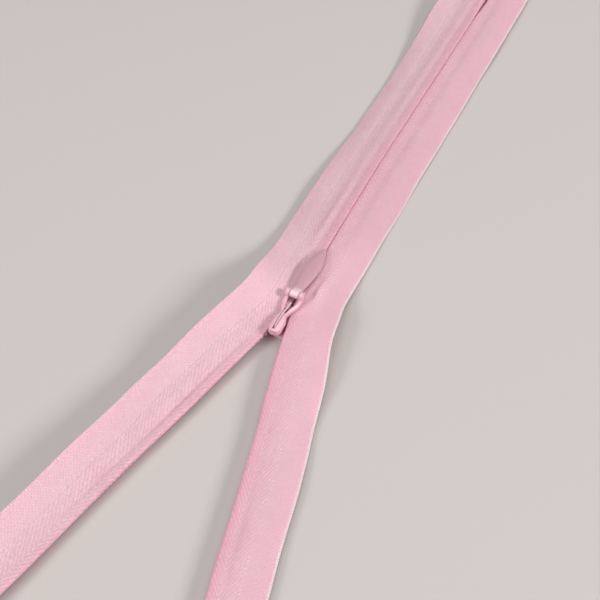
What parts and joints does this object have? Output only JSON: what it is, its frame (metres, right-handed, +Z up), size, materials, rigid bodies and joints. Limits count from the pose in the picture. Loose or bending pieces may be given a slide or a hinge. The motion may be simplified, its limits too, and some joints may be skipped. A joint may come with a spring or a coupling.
{
  "type": "concealed zipper",
  "caption": "Concealed coil zipper, part open: two woven tapes folded over interlocking coils, a locking slider with a teardrop pull tab, and end stops.",
  "frame": {"origin": "middle of the footprint, on the surface the zipper lies on", "axes": "+X along the closed chain from the slider towards the bottom stop, +Y towards the left tape, +Z up out of the face side"},
  "size_m": [0.277, 0.0856, 0.0061],
  "materials": {
    "tape": "matt woven polyester, dyed pink",
    "coil": "dyed monofilament, satin",
    "cord": "spun polyester cord",
    "thread": "polyester sewing thread",
    "stop": "enamelled, semi-gloss",
    "slider": "enamelled die casting, semi-gloss",
    "spring": "enamelled spring steel, gloss",
    "tab": "enamelled die casting, semi-gloss"
  },
  "bodies": {
    "tapes": {"left_tape": "tape", "right_tape": "tape", "left_coil": "coil", "right_coil": "coil", "left_core_cord": "cord", "right_core_cord": "cord", "left_sewing_thread": "thread", "right_sewing_thread": "thread", "left_top_stop": "stop", "right_top_stop": "stop", "bottom_stop": "stop"},
    "slider": {"slider_body": "slider"},
    "latch": {"lock_spring": "spring"},
    "tab": {"pull_tab": "tab"}
  },
  "joints": [
    {"name": "slider_travel", "type": "slide", "parent": "tapes", "child": "slider", "axis": [1, 0, 0], "range_m": [-0.084, 0.098], "deforming": ["left_tape", "right_tape", "left_coil", "right_coil", "left_core_cord", "right_core_cord", "left_sewing_thread", "right_sewing_thread"]},
    {"name": "tab_swing", "type": "hinge", "parent": "slider", "child": "tab", "pos_m": [-0.0063, 0, 0.00502], "axis": [0, -1, 0], "range_deg": [0, 160]},
    {"name": "spring_lift", "type": "hinge", "parent": "slider", "child": "latch", "pos_m": [-0.01781, 0, 0.00492], "axis": [0, -1, 0], "range_deg": [0, 4.5]}
  ],
  "couplings": [
    {"joint": "spring_lift", "follows": "tab_swing", "ratio": 0.028125}
  ]
}
